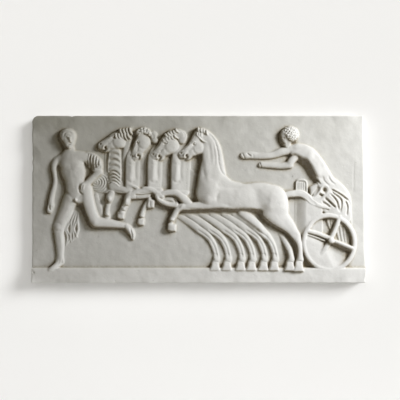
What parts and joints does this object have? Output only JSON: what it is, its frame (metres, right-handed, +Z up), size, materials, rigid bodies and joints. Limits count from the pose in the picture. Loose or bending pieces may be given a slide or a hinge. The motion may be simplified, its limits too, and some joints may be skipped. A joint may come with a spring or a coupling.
{
  "type": "plaster relief plaque",
  "caption": "Oblong cast plaster wall plaque with a relief of a striding youth, a team of horses and the driver of a light chariot above a plain ledge.",
  "frame": {"origin": "centre of the flat back face, where the plaque meets the wall", "axes": "+X along the plaque's length, to the right of someone who looks at the relief; +Y out of the flat back, into the wall; +Z up"},
  "size_m": [0.8998, 0.0505, 0.45],
  "materials": {
    "plaster": "matt off-white cast plaster"
  },
  "bodies": {
    "root": {"relief_plaque": "plaster"}
  },
  "joints": []
}
